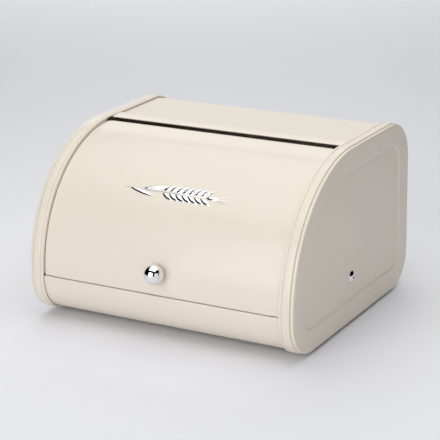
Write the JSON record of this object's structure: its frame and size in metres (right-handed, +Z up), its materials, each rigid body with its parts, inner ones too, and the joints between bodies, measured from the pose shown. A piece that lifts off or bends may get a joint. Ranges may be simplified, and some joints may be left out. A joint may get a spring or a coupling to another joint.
{
  "type": "bread box",
  "caption": "Cream painted steel bread box with rounded stamped ends and a curved lid with a chrome ball knob that rolls back inside the body.",
  "frame": {"origin": "on the floor under the middle of the footprint, knob included", "axes": "+X to the right hand of someone facing the lid, +Y towards the back, +Z up"},
  "size_m": [0.342, 0.3262, 0.2105],
  "materials": {
    "cream_paint": "gloss",
    "chrome": "polished",
    "rubber": "matte",
    "nylon": "satin",
    "zinc_steel": "satin"
  },
  "bodies": {
    "box": {"top_back_sheet": "cream_paint", "base_front_sheet": "cream_paint", "side_panel_left": "cream_paint", "side_panel_right": "cream_paint", "foot_front_left": "rubber", "foot_front_right": "rubber", "foot_back_left": "rubber", "foot_back_right": "rubber", "pivot_pin_left": "chrome", "pivot_pin_right": "chrome", "pivot_spacer_left": "nylon", "pivot_spacer_right": "nylon", "pivot_cap_left": "nylon", "pivot_cap_right": "nylon", "lid_buffer_left": "nylon", "lid_buffer_right": "nylon", "open_stop_left": "rubber", "open_stop_right": "rubber"},
    "lid": {"lid_sheet": "cream_paint", "lid_cheek_left": "cream_paint", "lid_cheek_right": "cream_paint", "cheek_bush_left": "nylon", "cheek_bush_right": "nylon", "knob": "chrome", "knob_screw": "zinc_steel", "knob_washer": "zinc_steel", "ornament": "chrome", "ornament_nuts": "zinc_steel"}
  },
  "joints": [
    {"name": "lid_hinge", "type": "hinge", "parent": "box", "child": "lid", "pos_m": [0, 0.00558, 0.057], "axis": [-1, 0, 0], "range_deg": [0, 78]}
  ]
}
